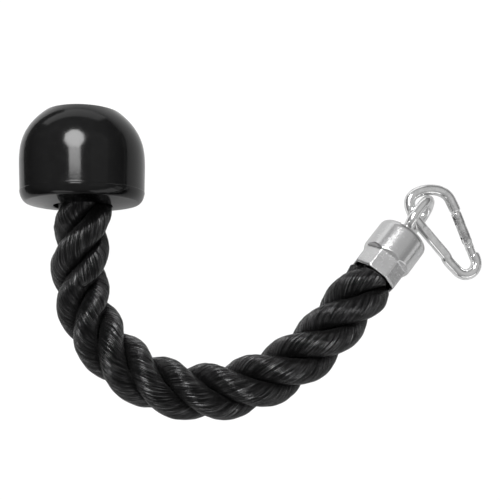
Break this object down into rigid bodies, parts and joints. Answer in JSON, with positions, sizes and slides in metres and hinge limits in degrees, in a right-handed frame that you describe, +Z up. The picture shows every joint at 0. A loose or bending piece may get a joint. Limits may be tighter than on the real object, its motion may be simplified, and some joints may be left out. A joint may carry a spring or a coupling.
{
  "type": "triceps rope attachment",
  "caption": "Short thick twisted rope with a domed rubber ball stopper on one end and, on the other, a crimped metal cap, swivel eye and spring-gate snap hook.",
  "frame": {"origin": "on the surface that the part lies on, under the middle of the box round everything but the free rope", "axes": "+Z up from that surface, +X from the ball end to the hook end, +Y from the rope's bend towards the ball's flat top"},
  "size_m": [0.2519, 0.1634, 0.0677],
  "materials": {
    "black_rubber": "glossy moulded rubber",
    "black_plastic": "moulded, slightly matt",
    "black_rope_fibre": "shiny nylon yarn",
    "black_tape": "smooth cloth tape",
    "zinc_plated_steel": "bright plated",
    "satin_steel": "satin, with draw marks",
    "spring_steel": "drawn wire"
  },
  "bodies": {
    "rope_and_ends": {"ball_stopper": "black_rubber", "ball_plug": "black_plastic", "stop_washer": "zinc_plated_steel", "stop_ferrule": "zinc_plated_steel", "rope_tape_ball": "black_tape", "rope_ball_end": "black_rope_fibre", "rope": "black_rope_fibre", "rope_cap_end": "black_rope_fibre", "rope_tape_cap": "black_tape", "end_cap": "satin_steel"},
    "eye": {"eye_bolt": "zinc_plated_steel", "eye_washer": "zinc_plated_steel", "eye_nut": "zinc_plated_steel"},
    "hook": {"hook_body": "zinc_plated_steel"},
    "gate": {"hook_gate": "zinc_plated_steel", "gate_rivet": "zinc_plated_steel", "latch_pin": "zinc_plated_steel", "gate_spring": "spring_steel"},
    "plunger": {"gate_plunger": "zinc_plated_steel"}
  },
  "joints": [
    {"name": "eye_swivel", "type": "hinge", "parent": "rope_and_ends", "child": "eye", "pos_m": [0.08146, -0.01543, 0.014], "axis": [0.6215, 0.7813, -0.0582], "continuous": true},
    {"name": "hook_swing", "type": "hinge", "parent": "eye", "child": "hook", "pos_m": [0.09616, 0.00054, 0.01385], "axis": [0.1336, -0.2073, 0.9691], "range_deg": [0, 160]},
    {"name": "gate_open", "type": "hinge", "parent": "hook", "child": "gate", "pos_m": [0.11783, -0.01741, 0.00703], "axis": [0.1336, -0.2073, 0.9691], "range_deg": [0, 30], "stiffness_Nm_per_rad": 0.04, "springref_deg": -34.38},
    {"name": "plunger_push", "type": "slide", "parent": "gate", "child": "plunger", "axis": [-0.3719, 0.8959, 0.2429], "range_m": [0, 0.0006], "deforming": ["gate_spring"]}
  ],
  "couplings": [
    {"joint": "plunger_push", "follows": "gate_open", "m_per_rad": 0.0011}
  ]
}
